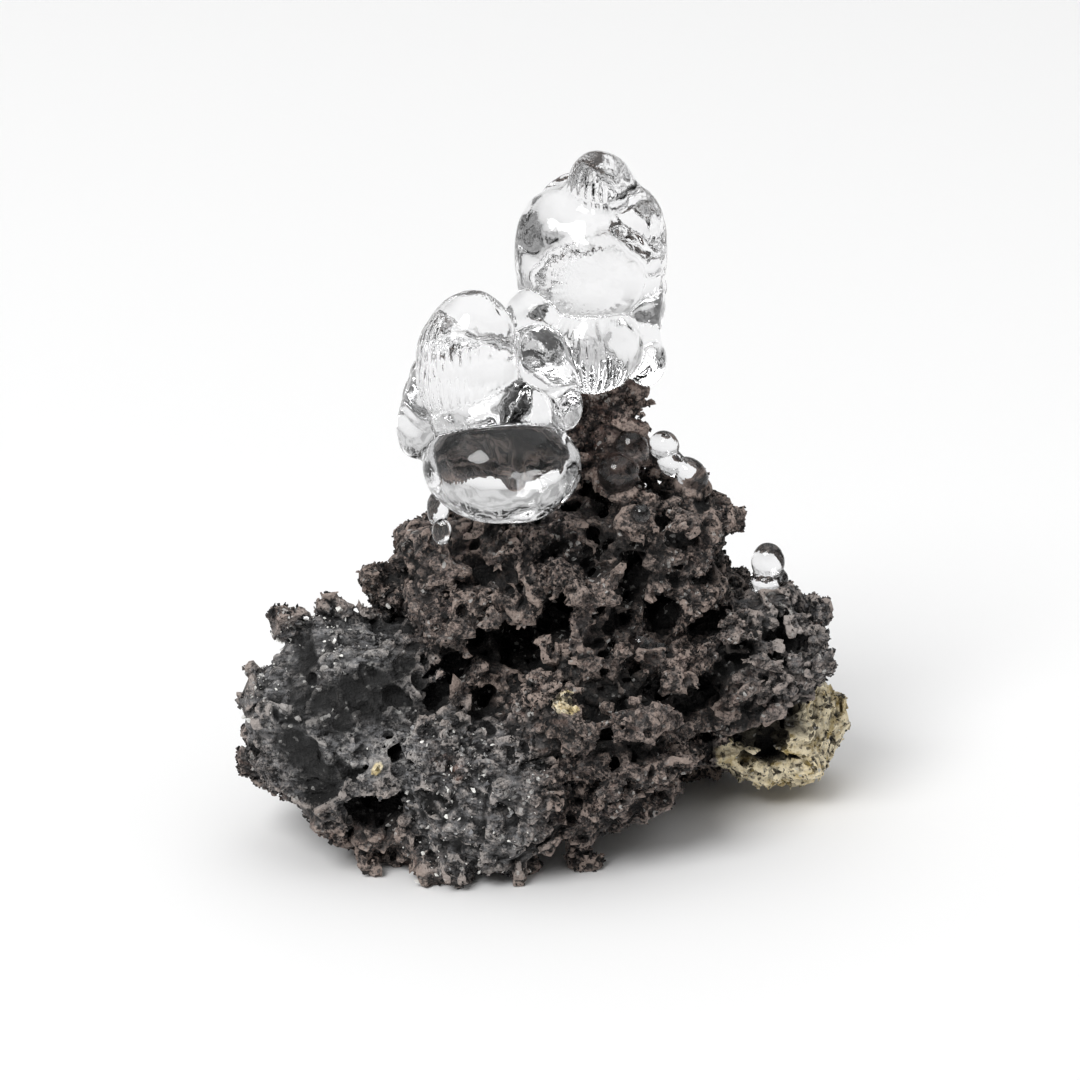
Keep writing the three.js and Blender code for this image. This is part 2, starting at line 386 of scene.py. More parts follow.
# %% Landmark lumps, breaks and caves
LUMPS = [
    ((-17.9, -3.4, 15.8), (1.0, 0.9, 0.95), (20, 0, 30)),
    ((-17.2, -3.8, 15.2), (1.2, 1.0, 1.0), (0, 30, 0)),
    ((-15.2, -3.0, 16.6), (1.1, 0.9, 0.8), (0, 10, 20)),
    ((-19.7, -6.4, 12.2), (1.0, 1.2, 1.3), (0, 20, 30)),
    ((-20.1, -6.0, 8.6), (0.9, 1.3, 1.0), (20, 0, 0)),
    ((-19.9, -5.4, 6.8), (1.0, 1.2, 0.7), (0, -15, 0)),
    ((-12.6, -9.8, 1.4), (0.7, 0.7, 0.95), (0, 0, 0)),
    ((1.7, -9.2, 1.5), (1.1, 0.9, 1.0), (0, 0, 30)),
    ((2.7, -6.7, 20.0), (2.1, 1.5, 1.1), (-20, 12, 25)),
    ((11.0, 1.8, 22.4), (1.1, 0.9, 0.55), (0, -35, 0)),
    ((11.8, 1.2, 21.2), (1.0, 0.9, 0.6), (0, -15, 20)),
    ((16.9, -0.4, 15.6), (1.0, 0.9, 1.1), (0, 30, 20)),
    ((17.8, 0.8, 13.8), (0.9, 0.8, 1.1), (0, 25, 0)),
    ((-11.8, -0.6, 17.6), (1.2, 1.0, 0.9), (20, 20, 0)),
    ((-9.3, -1.6, 20.3), (1.2, 1.0, 1.0), (0, 15, 20)),
    ((-0.6, -10.6, 11.2), (2.3, 1.1, 2.3), (-20, 45, -35)),
    ((1.2, -10.6, 12.9), (1.5, 0.9, 1.0), (10, 30, -20)),
    ((5.4, -10.6, 11.6), (2.6, 1.5, 0.9), (-25, 20, 10)),
    ((6.2, -10.4, 7.4), (3.0, 1.2, 0.6), (-10, -28, 0)),
    ((-2.0, -12.6, 5.8), (2.0, 1.2, 2.6), (0, 15, -20)),
    ((-6.6, -6.6, 17.4), (2.2, 1.6, 1.2), (-30, -10, 0)),
    ((8.0, -5.6, 13.2), (2.6, 1.4, 1.0), (-20, 15, 20)),
    ((16.0, -3.0, 12.8), (2.4, 1.3, 1.6), (0, 20, 20)),
    ((11.5, -3.6, 11.4), (1.6, 1.4, 1.0), (-20, -20, 10)),
]
BREAKS = [
    ((-13.6, -9.6, 12.6), (0.10, -0.86, 0.50), 4.4),
    ((-9.8, -8.6, 13.9), (0.22, -0.80, 0.55), 2.8),
    ((-17.2, -7.0, 14.2), (-0.45, -0.45, 0.77), 3.2),
    ((-17.0, -10.4, 9.2), (-0.40, -0.90, -0.15), 3.6),
    ((-7.4, -12.6, 9.6), (-0.35, -0.80, 0.48), 2.6),
    ((20.2, 1.5, 5.2), (0.85, -0.45, 0.10), 3.4),
    ((17.0, -1.4, 6.2), (0.10, -0.94, 0.30), 3.0),
    ((18.3, 0.4, 14.4), (0.75, -0.10, 0.66), 3.0),
]
CAVES = [
    ((-2.4, -4.6, 14.9), (2.2, 4.4, 1.8), 20),
    ((0.6, -3.8, 16.9), (1.3, 3.8, 2.2), 15),
    ((-4.6, -8.2, 11.9), (1.3, 4.0, 1.1), -30),
    ((-5.6, -5.0, 15.8), (1.5, 3.9, 1.8), 0),
    ((-6.8, -7.0, 13.7), (2.6, 3.5, 1.1), -35),
    ((7.4, -3.4, 16.4), (1.7, 4.0, 1.8), -25),
    ((10.8, -0.8, 15.6), (2.2, 4.2, 1.2), 0),
    ((4.8, -4.4, 16.4), (1.0, 3.2, 0.8), 0),
    ((5.6, -3.8, 19.6), (1.0, 3.4, 1.9), 0),
    ((11.0, 0.0, 6.4), (1.6, 3.6, 0.8), 0),
    ((14.2, -1.0, 6.5), (2.7, 3.2, 1.6), 10),
    ((15.6, -0.8, 4.4), (1.6, 2.8, 0.6), 5),
    ((15.0, -1.6, 13.2), (1.1, 2.6, 0.9), 0),
    ((-12.2, -9.8, 5.2), (2.2, 3.4, 1.9), 0),
    ((-11.2, -8.6, 9.3), (1.6, 3.2, 0.9), -20),
    ((3.8, -8.8, 7.8), (2.0, 3.0, 1.5), -20),
    ((3.6, -9.0, 10.2), (1.8, 2.6, 0.8), -25),
    ((12.9, 0.6, 19.8), (1.5, 2.6, 1.7), 0),
    ((8.8, 5.6, 25.2), (3.4, 2.9, 2.6), 20),
    ((20.6, -0.4, 11.6), (2.2, 2.6, 1.5), 0),
    ((-21.6, -5.4, 3.6), (2.2, 3.4, 1.5), 0),
    ((9.0, -3.6, 21.8), (1.8, 2.8, 1.0), 25),
    ((10.6, -2.2, 19.2), (1.4, 3.0, 0.9), -20),
    ((1.6, -5.6, 22.4), (1.5, 2.2, 0.7), -15),
    ((7.5, 1.4, 29.0), (1.9, 3.0, 1.5), 0),
    ((-4.0, 1.3, 26.5), (3.4, 2.9, 2.1), 0),
]
HOLES = [
    ((-10.4, -8.3, 15.3), 0.5),
    ((-10.2, -8.9, 14.4), 0.55),
    ((-8.9, -8.8, 14.9), 0.4),
    ((-8.2, -8.9, 14.3), 0.5),
    ((-8.5, -9.9, 13.0), 0.55),
    ((-11.9, -10.3, 12.4), 0.6),
    ((-16.4, -11.0, 6.4), 0.5),
]
for centre, radii, degrees in LUMPS:
    lump(centre, radii, turn_by(*degrees), 5.0, 0.35)
for centre, normal, reach in BREAKS:
    flat_break(centre, normal, reach)
most_out = stone - 0.12 - 0.45 * ragged


def carve_caves(share):
    for centre, radii, lean in CAVES:
        hollow(centre, np.array(radii) * share, turn_by(0, lean, 0))


carve_caves(1.0)
print("landmarks:", len(LUMPS), "lumps,", len(BREAKS), "breaks and", len(CAVES), "caves")

# %% [markdown]
# ## Open rifts
#
# Between the landmarks the lava tore open in uneven rifts. Where a slow noise runs high, the stone is taken
# away. The dense parts and the opal's feet are spared, and so is the heart of the stone. One rift would run
# right through the cone, so a lump closes it again.

# %% Rifts
rift = 0.75 * (noise((3.4, 3.4, 2.4), 15) + 0.55 * noise(1.5, 16) - 1.25)
spared = 2.2 * smooth_share + 1.6 * (1 - away_from_opal) + np.clip(-2.6 - smooth_stone, 0, FAR)
stone = np.maximum(stone, rift - spared)
lump((4.7, 3.4, 21.9), (1.5, 1.3, 1.5), turn_by(20, 0, 30))
print("share of the block in rifts:", round(float((rift > spared).mean()), 3))

# %% [markdown]
# ## Broken faces
#
# Lava doesn't wear round, it breaks into blocks with flat faces. A scattered point in each cell of a loose
# lattice owns the space nearest to it, so the borders between owners are flat. Each owner moves its piece of
# the skin in or out and tips it, and a groove runs along the borders. This is a Voronoi pattern, used on the
# distances themselves.


# %% Voronoi blocks on the skin
def break_into_blocks(size, step_out, tip, groove, seed, reach=1.4):
    close = np.flatnonzero(np.abs(stone.ravel()) < reach)
    index = np.unravel_index(close, tuple(cells))
    place = [((index[a] + first_cell[a]) * (STEP / size)).astype(np.float32) for a in range(3)]
    base = [np.floor(p - 0.5).astype(np.int32) for p in place]
    low = [int(b.min()) for b in base]
    shape = [int(b.max()) - l + 2 for b, l in zip(base, low)]
    rng = np.random.default_rng(seed)
    owners = math.prod(shape)
    jitter = rng.uniform(-0.42, 0.42, (3, owners)).astype(np.float32)
    best = np.full(len(close), FAR, np.float32)
    second = best.copy()
    owner = np.zeros(len(close), np.int32)
    for corner in range(8):
        step = (corner & 1, corner >> 1 & 1, corner >> 2 & 1)
        cell = [base[a] + (step[a] - low[a]) for a in range(3)]
        number = (cell[0] * shape[1] + cell[1]) * shape[2] + cell[2]
        away = sum((place[a] - (base[a] + (step[a] + 0.5)) - jitter[a][number]) ** 2 for a in range(3))
        closer = away < best
        second = np.where(closer, best, np.minimum(second, away))
        owner = np.where(closer, number, owner)
        best = np.where(closer, away, best)
    lift = rng.uniform(-step_out, step_out, owners).astype(np.float32)[owner]
    cell = np.unravel_index(owner, shape)
    for a in range(3):
        lean = rng.uniform(-tip, tip, owners).astype(np.float32)
        lift += lean[owner] * size * (place[a] - (cell[a] + (low[a] + 0.5)) - jitter[a][owner])
    border = (np.sqrt(second) - np.sqrt(best)) * size
    lift += groove * np.clip(1 - border / 0.3, 0, 1)
    rough = (0.2 + 0.8 * ragged.ravel()[close]) * (0.25 + 0.75 * away_from_opal.ravel()[close])
    stone.ravel()[close] += lift * rough
    return len(close)


print("cells moved:", break_into_blocks(2.3, 0.3, 0.35, 0.25, 51))
print("cells moved:", break_into_blocks(1.05, 0.16, 0.45, 0.14, 52))

# %% [markdown]
# ## Scattered clasts
#
# Thin plates and angular clasts of lava were welded on while it was hot. The plates lie roughly level, and
# make ledges that throw sharp shadows. Both are scattered by a seeded random generator, so each run gives the
# same stone. A place is picked among the cells close to the skin, and ragged places are picked more often.


# %% Clasts
def pick_places(count, inner, outer, rng, weight=None):
    close = np.flatnonzero((stone.ravel() > inner) & (stone.ravel() < outer))
    chosen = rng.choice(close, count * 6)
    if weight is not None:
        chosen = chosen[rng.random(len(chosen)) < weight.ravel()[chosen]]
    spots = np.stack(np.unravel_index(chosen[:count], tuple(cells)), 1) + first_cell
    return spots * STEP + rng.uniform(-0.5, 0.5, (len(spots), 3)) * STEP


rng = np.random.default_rng(20)
clast_share = (0.1 + 0.9 * ragged) * away_from_opal
plates = pick_places(170, -0.4, 0.2, rng, clast_share)
for centre in plates:
    tipped = turn_by(*rng.uniform(-35, 35, 2), rng.uniform(0, 360))
    lump(centre, (rng.uniform(0.9, 2.3), rng.uniform(0.8, 1.6), rng.uniform(0.22, 0.45)), tipped, 5.0, 0.12)
rng = np.random.default_rng(21)
clasts = pick_places(1500, -0.3, 0.15, rng, clast_share)
for centre in clasts:
    size = 0.3 + 0.75 * rng.random() ** 3
    lump(centre, size * rng.uniform(0.55, 1.15, 3), random_turn(rng), 5.0, 0.12)
carve_caves(0.85)
print("plates:", len(plates), "and clasts:", len(clasts))

# %% [markdown]
# ## Gas bubbles
#
# Bubbles in lava push one another apart and leave thin walls between them. Here they come in swarms, with
# solid rock between the swarms. A new one is only kept where it doesn't overlap its neighbours much, and a
# table of buckets makes the search for neighbours quick. Where a bubble meets the skin it leaves an open cup
# with a sharp rim.


# %% Packing the bubbles
def pack_bubbles(places, sizes, overlap=0.86):
    bucket, kept = {}, []
    cell = 2.2 * max(sizes)
    for place, size in zip(places, sizes):
        x, y, z = np.floor(place / cell).astype(int)
        around = [bucket.get((x + a - 1, y + b - 1, z + c - 1), ()) for a, b, c in np.ndindex(3, 3, 3)]
        neighbours = [one for group in around for one in group]
        if all(math.dist(place, other) > overlap * (size + its_size) for other, its_size in neighbours):
            bucket.setdefault((x, y, z), []).append((place, size))
            kept.append((place, size))
    return kept


swarms = np.clip(noise(3.8, 35) + 0.1, 0, 1)
bubble_share = (0.02 + 0.98 * ragged) * away_from_opal * swarms
bubbles = []
BUBBLE_SIZES = ((0.6, 1.0, 240, 31), (0.34, 0.6, 2600, 32), (0.22, 0.34, 5200, 33))
for low_size, high_size, count, seed in BUBBLE_SIZES:
    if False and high_size < 0.5:
        continue
    rng = np.random.default_rng(seed)
    places = pick_places(count, -0.7 * high_size, 0.3 * high_size, rng, bubble_share)
    sizes = np.sort(rng.uniform(low_size, high_size, len(places)))[::-1]
    bubbles += pack_bubbles(places, sizes)
rng = np.random.default_rng(34)
for centre, size in bubbles:
    hollow(centre, size * rng.uniform(0.7, 1.4, 3), random_turn(rng), rng.uniform(1.6, 2.6))
for centre, size in HOLES:
    hollow(centre, (size, size * 1.6, size * 0.8), np.eye(3))
print("bubbles:", len(bubbles))

# %% [markdown]
# ## Crumbling
#
# Weather rounds nothing here, it crumbles. Fine noise roughens every wall and rim.

# %% Crumbling and the resting plane
crumble = 0.1 * noise(0.9, 41) + 0.07 * noise(0.5, 42)
stone += crumble * (0.6 + 0.4 * ragged)
stone = np.maximum(np.maximum(stone, most_out), -Z)
print("cells inside the stone:", int((stone < 0).sum()))

# %% [markdown]
# ## From cells to a skin
#
# OpenVDB draws the skin through the zeros. Crumbs that the carving cut loose would hang in the air, so only
# the largest connected part is kept. Connected parts are found by letting each point take the lowest number
# among its neighbours, again and again, with a jump that makes the search short.


# %% Skin of a block
def skin_of(values, first, step):
    grid = openvdb.FloatGrid(background=FAR)
    grid.copyFromArray(values, ijk=tuple(int(c) for c in first))
    grid.transform = openvdb.createLinearTransform(step)
    points, _, quads = grid.convertToPolygons()
    return points, quads.astype(np.int64)


def largest_part(points, quads):
    label = np.arange(len(points))
    ends = np.concatenate([quads[:, [0, 1]], quads[:, [1, 2]], quads[:, [2, 3]], quads[:, [3, 0]]])
    while True:
        low = np.minimum(label[ends[:, 0]], label[ends[:, 1]])
        lower = label.copy()
        np.minimum.at(lower, ends[:, 0], low)
        np.minimum.at(lower, ends[:, 1], low)
        lower = lower[lower]
        if (lower == label).all():
            break
        label = lower
    keep = label == np.bincount(label).argmax()
    number = np.cumsum(keep) - 1
    return points[keep], number[quads[keep[quads[:, 0]]]]


points, quads = skin_of(stone, first_cell, STEP)
print("skin:", len(points), "points and", len(quads), "faces of four corners")
points, quads = largest_part(points, quads)
print("largest part:", len(points), "points and", len(quads), "faces")

# %% [markdown]
# ## Reading the block at any point
#
# Colours and later pieces need to know, at each point of the skin, how deep it lies and whether it is on a
# rim or in a pit. This reads the block between cells by weighting the eight cells around the point.


# %% Reading between cells
def read(values, points_mm):
    place = points_mm / STEP - first_cell
    base = np.clip(np.floor(place).astype(int), 0, cells - 2)
    f = (place - base).astype(np.float32)
    total = np.zeros(len(points_mm), np.float32)
    for corner in range(8):
        offset = np.array([corner & 1, corner >> 1 & 1, corner >> 2 & 1])
        share = np.prod(np.where(offset, f, 1 - f), 1)
        i, j, k = (base + offset).T
        total += share * values[i, j, k]
    return total


def softened(values, rounds):
    for _ in range(rounds):
        for a in range(3):
            ahead = np.roll(values, 1, a)
            behind = np.roll(values, -1, a)
            values = 0.5 * values + 0.25 * (ahead + behind)
    return values


softer = softened(np.clip(stone, -1.2, 1.2), 3)
print("cells in the softened copy:", softer.size)

# %% [markdown]
# ## Thinning the skin
#
# The skin has far more faces than it needs where it is smooth. The Decimate modifier merges those first and
# keeps the rims. The piece ends up under two hundred thousand triangles.


# %% Making and thinning a mesh
def new_piece(name, points, faces):
    mesh = bpy.data.meshes.new(name)
    mesh.from_pydata(points.tolist(), [], faces.tolist())
    piece = bpy.data.objects.new(name, mesh)
    bpy.context.scene.collection.objects.link(piece)
    return piece


def triangles_in(piece):
    return len(corners_of(piece))


def thinned(piece, most):
    share = most / triangles_in(piece)
    if share < 1:
        piece.modifiers.new("thin", "DECIMATE").ratio = share
        evaluated = piece.evaluated_get(bpy.context.evaluated_depsgraph_get())
        made = bpy.data.meshes.new_from_object(evaluated)
        piece.modifiers.clear()
        piece.data = made
    return piece


SCORIA_TRIANGLES = 195_000
scoria = thinned(new_piece("scoria", points * MM, quads), SCORIA_TRIANGLES)
print("scoria:", triangles_in(scoria), "triangles")

# %% [markdown]
# ## Crumbs
#
# Up close, scoria is covered with angular crumbs, a fifth to half a millimetre across. They are too fine for
# the block of cells, so they are small solids of their own, sunk into the skin. Each is the hull of eight
# points on a ball. A few shapes are made once and then turned, stretched and placed by arrays, all in one
# mesh.


# %% Making crumbs
def crumb_shapes(count, rng, corners=8):
    shapes = []
    for _ in range(count):
        shape = bmesh.new()
        for _ in range(corners):
            shape.verts.new(mathutils.Vector(rng.standard_normal(3)).normalized())
        bmesh.ops.convex_hull(shape, input=shape.verts)
        bmesh.ops.recalc_face_normals(shape, faces=shape.faces)
        shape.verts.index_update()
        points = np.array([v.co[:] for v in shape.verts])
        faces = np.array([[v.index for v in f.verts] for f in shape.faces])
        shapes.append((points, faces))
        shape.free()
    return shapes


def spots_on(piece, count, share_at, rng):
    a, b, c = points_of(piece)[corners_of(piece)].transpose(1, 0, 2)
    across = np.cross(b - a, c - a)
    area = np.linalg.norm(across, axis=1)
    weight = area * share_at((a + b + c) / 3)
    picked = rng.choice(len(area), count, p=weight / weight.sum())
    s, t = np.sqrt(rng.random(count)), rng.random(count)
    spots = (1 - s)[:, None] * a[picked] + (s * (1 - t))[:, None] * b[picked] + (s * t)[:, None] * c[picked]
    return spots, across[picked] / area[picked][:, None]


def crumbs_at(name, spots, normals, sizes, sunk, shapes, flatness, rng):
    count = len(spots)
    q = rng.standard_normal((count, 4))
    w, x, y, z = (q / np.linalg.norm(q, axis=1)[:, None]).T
    turn = np.array([
        [1 - 2 * (y * y + z * z), 2 * (x * y - z * w), 2 * (x * z + y * w)],
        [2 * (x * y + z * w), 1 - 2 * (x * x + z * z), 2 * (y * z - x * w)],
        [2 * (x * z - y * w), 2 * (y * z + x * w), 1 - 2 * (x * x + y * y)],
    ]).transpose(2, 0, 1)
    stretch = sizes[:, None] * rng.uniform(flatness, 1.25, (count, 3))
    middles = spots + normals * (sizes * sunk)[:, None]
    kind = rng.integers(0, len(shapes), count)
    points, faces, crumb_of = [], [], []
    total = 0
    for number, (corners, sides) in enumerate(shapes):
        mine = np.flatnonzero(kind == number)
        placed = np.einsum("nij,nkj->nki", turn[mine], corners[None] * stretch[mine][:, None])
        points.append((placed + middles[mine][:, None]).reshape(-1, 3))
        starts = total + np.arange(len(mine)) * len(corners)
        faces.append((sides[None] + starts[:, None, None]).reshape(-1, 3))
        crumb_of.append(np.repeat(mine, len(corners)))
        total += len(mine) * len(corners)
    points, faces = np.concatenate(points), np.concatenate(faces)
    points[:, 2] = np.clip(points[:, 2], 0, None)
    return new_piece(name, points * MM, faces), np.concatenate(crumb_of), middles


# %% [markdown]
# ## Notes for the paint
#
# Numbers stored on each point steer the material: how much it stands out, which sets a painted highlight on
# rims and painted shade in pits, how deep it lies under the broken skin, which sets more painted shade, its
# share of each region, and a random tone of its own for each crumb, the shade note. This cell also marks
# where rust and flecks of ochre gather, and how far the grey of the dense parts reaches.

# %% Numbers on each point
OCHRE_FLECKS = [
    ((0.9, -11.4, 13.2), 0.9),
    ((-11.9, -12.2, 8.6), 0.7),
    ((13.0, -0.8, 4.4), 1.6),
    ((-19.5, -6.0, 7.0), 0.7),
]
RUST_SPOTS = [
    ((-7.2, -13.4, 9.4), 1.5),
    ((10.0, -6.4, 15.0), 1.6),
    ((19.0, 0.0, 16.0), 1.8),
    ((3.5, -1.0, 30.0), 5.5),
]
ochre_share = right_foot.copy()
for centre, size in OCHRE_FLECKS:
    ochre_share = np.maximum(ochre_share, near(centre, size))
rust_share = sum(near(centre, size, 0.6) for centre, size in RUST_SPOTS)
grey_share = np.maximum(smooth_share, 0.45 * near((16.5, 0.0, 13.5), (5.0, 6.0, 4.5), 0.8))


def note(piece, name, values):
    layer = piece.data.attributes.new(name, "FLOAT", "POINT")
    layer.data.foreach_set("value", np.ascontiguousarray(values, np.float32))


def paint_notes(piece, places, rim, shade):
    note(piece, "rim", rim)
    note(piece, "shade", shade)
    note(piece, "depth", np.clip(-read(smooth_stone, places) / 2.2, 0, 1))
    note(piece, "dense", read(grey_share, places))
    note(piece, "ochre", read(ochre_share, places))
    note(piece, "rust", read(rust_share, places))


places = points_of(scoria)
# rim note: above a half on rims and below in pits; it sets the painted highlight and the painted shade
rim = np.clip(0.5 + 2.2 * read(softer - stone, places), 0, 1)
paint_notes(scoria, places, rim, np.full(len(places), 0.5))
print("notes:", [layer.name for layer in scoria.data.attributes if layer.data_type == "FLOAT"])

# %% [markdown]
# ## Spreading the crumbs
#
# Crumbs gather where the stone is open and ragged. They lie in drifts, thin out in deep hollows and keep off
# the opal, where they would show through the glass. A particle system could scatter them, but arrays are
# quicker and always give the same crumbs. Three meshes share them, so that none gets too heavy.

# %% Scattering the crumbs
CRUMBS_EACH = 15500
crumb_drifts = noise(2.4, 71)


def open_share(places):
    depth = np.clip(-read(smooth_stone, places), 0, None)
    clear_of_opal = np.clip((read(opal_gap, places) - 0.35) / 0.3, 0, 1)
    drift = np.clip(0.5 + read(crumb_drifts, places), 0.12, 1.3)
    return (0.35 + 0.65 * read(ragged, places)) * np.clip(1.1 - depth / 1.6, 0, 1) * clear_of_opal * drift


crumb_pieces = []
for number in range(3):
    rng = np.random.default_rng(70 + number)
    spots, normals = spots_on(scoria, CRUMBS_EACH, open_share, rng)
    sizes = (0.07 + 0.2 * rng.random(CRUMBS_EACH) ** 2.6) * (0.7 + 0.3 * read(ragged, spots))
    name, shapes = f"crumbs_{number + 1}", crumb_shapes(12, rng)
    piece, crumb_of, middles = crumbs_at(name, spots, normals, sizes, 0.25, shapes, 0.6, rng)
    own = rng.random(CRUMBS_EACH)[crumb_of]
    proud = np.linalg.norm(points_of(piece) - middles[crumb_of], axis=1) / sizes[crumb_of]
    # rim note grows towards each crumb's tips, with a random part, so tips get painted highlight and feet
    # painted shade
    rim = np.clip(0.15 + 0.32 * proud + 0.5 * (own - 0.5), 0, 1)
    paint_notes(piece, middles[crumb_of], rim, own)
    crumb_pieces.append(piece)
print("crumbs:", {piece.name: triangles_in(piece) for piece in crumb_pieces})

# %% [markdown]
# ## Node helpers
#
# Each finish here is a small tree of nodes, and so is the light from the surroundings. These helpers make a
# node, link it, set its values and hand back its result, all in one line. Noise and grains are given by
# their size, in millimetres on a finish.


# %% Node helpers
class Nodes:
    def __init__(self, tree, coordinates, per_size):
        self.tree = tree
        self.per_size = per_size
        self.place = tree.nodes.new("ShaderNodeTexCoord").outputs[coordinates]

    def put(self, socket, value):
        if isinstance(value, bpy.types.NodeSocket):
            self.tree.links.new(value, socket)
        else:
            socket.default_value = value

    def make(self, kind, values, output=0, **settings):
        node = self.tree.nodes.new(kind)
        for key, value in settings.items():
            setattr(node, key, value)
        for socket, value in values.items():
            self.put(node.inputs[socket], value)
        return node.outputs[output]

    def noise(self, size, detail=4.0, rough=0.55, stretch=None, distortion=0.0):
        place = self.vector("MULTIPLY", self.place, stretch) if stretch else self.place
        values = {"Vector": place, "Scale": self.per_size / size, "Detail": detail, "Roughness": rough}
        return self.make("ShaderNodeTexNoise", values | {"Distortion": distortion})

    def grains(self, size, output="Distance"):
        values = {"Vector": self.place, "Scale": self.per_size / size}
        return self.make("ShaderNodeTexVoronoi", values, output)

    def grain_tone(self, size):
        return self.make("ShaderNodeSeparateColor", {0: self.grains(size, "Color")})

    def noted(self, name):
        return self.make("ShaderNodeAttribute", {}, "Fac", attribute_name=name)

    def ramp(self, value, low, high, start=0.0, end=1.0):
        limits = {"From Min": low, "From Max": high, "To Min": start, "To Max": end}
        return self.make("ShaderNodeMapRange", {"Value": value} | limits, interpolation_type="SMOOTHSTEP")

    def math(self, operation, one, other=0.0):
        return self.make("ShaderNodeMath", {0: one, 1: other}, operation=operation)

    def sum(self, *parts):
        total = parts[0]
        for part in parts[1:]:
            total = self.math("ADD", total, part)
        return total

    def times(self, one, other):
        return self.math("MULTIPLY", one, other)

    def vector(self, operation, one, other=(0, 0, 0), output="Vector"):
        return self.make("ShaderNodeVectorMath", {0: one, 1: other}, output, operation=operation)

    def part_of(self, vector, axis):
        return self.make("ShaderNodeSeparateXYZ", {0: vector}, axis)

    def blend(self, share, one, other):
        return self.make("ShaderNodeMix", {0: share, 2: one, 3: other})

    def mix(self, share, one, other, blend="MIX"):
        values = {0: share, 6: one, 7: other}
        return self.make("ShaderNodeMix", values, 2, data_type="RGBA", blend_type=blend)


class Finish(Nodes):
    def __init__(self, name):
        self.material = bpy.data.materials.new(name)
        self.material.use_nodes = True
        super().__init__(self.material.node_tree, "Object", 1 / MM)

    def finish(self, values):
        shader = self.tree.nodes["Principled BSDF"]
        for socket, value in values.items():
            self.put(shader.inputs[socket], value)


def colour(r, g, b):
    return (r, g, b, 1.0)


print("node helpers are ready")

# %% [markdown]
# ## Scoria
#
# Dense scoria is dark grey with pale streaks. Where its iron rusted it is reddish brown, mostly on the open,
# ragged parts. It is made of grains, a few tenths of a millimetre across, each a little lighter or darker,
# and some are as pale as salt. Rims get a painted highlight and hollows a painted shade, nearly black. The
# right foot has a crust of ochre and cream. Layers of noise and grains are summed into one tone, which picks
# each colour between its dark and its light. The notes on the points then say which colour goes where.

# %% Scoria's tone and colours
rock = Finish("scoria")
rim, shade, depth = rock.noted("rim"), rock.noted("shade"), rock.noted("depth")
dense, ochre, rusty = rock.noted("dense"), rock.noted("ochre"), rock.noted("rust")
patches = rock.noise(5.0, 3.0)
mottle = rock.noise(0.9, 5.0, 0.65)
fine = rock.noise(0.22, 6.0, 0.7)
grain, big_grain = rock.grain_tone(0.3), rock.grain_tone(0.62)
tone = rock.sum(grain, big_grain, rock.times(shade, 1.3), mottle, rock.times(fine, 1.8))
tone = rock.ramp(tone, 2.55, 3.8)
grey = rock.mix(tone, colour(0.005, 0.0055, 0.0065), colour(0.118, 0.118, 0.12))
brown = rock.mix(tone, colour(0.005, 0.005, 0.0055), colour(0.09, 0.077, 0.071))
rust = rock.mix(tone, colour(0.011, 0.006, 0.005), colour(0.155, 0.074, 0.05))

rust_in_patches = rock.ramp(patches, 0.52, 0.66, 0.0, 0.4)
rust_in_spots = rock.ramp(rock.noise(0.7), 0.5, 0.62, 0.0, 0.4)
brown = rock.mix(rock.sum(rust_in_patches, rock.times(rusty, mottle), rust_in_spots), brown, rust)
border = rock.sum(rock.times(patches, 2.2), mottle)
body = rock.mix(rock.ramp(rock.sum(dense, border), 1.3, 2.5), brown, grey)
body = rock.mix(rock.ramp(rock.times(rusty, dense), 0.1, 0.4, 0.0, 0.9), body, rust)
streak = rock.ramp(rock.noise(0.6, 6.0, 0.7, (0.5, 1.0, 1.8)), 0.48, 0.6, 0.0, 0.8)
body = rock.mix(rock.times(streak, dense), body, colour(0.3, 0.3, 0.31))
print("nodes so far:", len(rock.tree.nodes))

# %% [markdown]
# ## Salt, painted rim highlights, crust, painted shade and specks
#
# These lie over the body colour, one over another. Salt gets a share of a paler colour, and rims a share of a
# painted highlight. The crust covers what is under it. Pits and deep places are darkened as painted shade.
# Specks are single bright grains, which are smoother than the rest, and a bump makes the finest grains stand
# out.

# %% Scoria's upper layers
salt_drifts = rock.ramp(rock.noise(1.1), 0.42, 0.68, 0.12, 0.75)
salt = rock.times(rock.ramp(rock.grain_tone(0.15), 0.5, 1.0), salt_drifts)
body = rock.mix(salt, body, rock.mix(dense, colour(0.33, 0.245, 0.205), colour(0.37, 0.37, 0.365)))
# painted highlight: convex rims, by the rim note, are mixed toward a pale pinkish or grey colour, as if lit
painted_rim_highlight = rock.ramp(rock.sum(rim, fine, -0.5), 0.56, 0.82, 0.0, 0.85)
body = rock.mix(painted_rim_highlight, body, rock.mix(dense, colour(0.38, 0.3, 0.26), colour(0.45, 0.445, 0.435)))

crust_tone = rock.ramp(rock.sum(fine, grain, big_grain, mottle), 1.25, 1.95)
crust = rock.mix(crust_tone, colour(0.05, 0.04, 0.022), colour(1.0, 0.88, 0.63))
crust = rock.mix(rock.ramp(rock.noise(1.4), 0.5, 0.66, 0.0, 0.7), crust, colour(0.5, 0.36, 0.1))
crust_share = rock.ramp(rock.sum(ochre, mottle, -0.5), 0.35, 0.7)
body = rock.mix(crust_share, body, crust)
# painted shade: where the rim note is low, in pits and round the feet of crumbs, the colour is multiplied
# near black
body = rock.mix(1.0, body, rock.ramp(rim, 0.18, 0.6, 0.03, 1.0), "MULTIPLY")
# painted shade: the deeper a point lies under the broken skin, the darker it is painted, down to a fourteenth
body = rock.mix(1.0, body, rock.ramp(depth, 0.1, 0.65, 1.0, 0.07), "MULTIPLY")

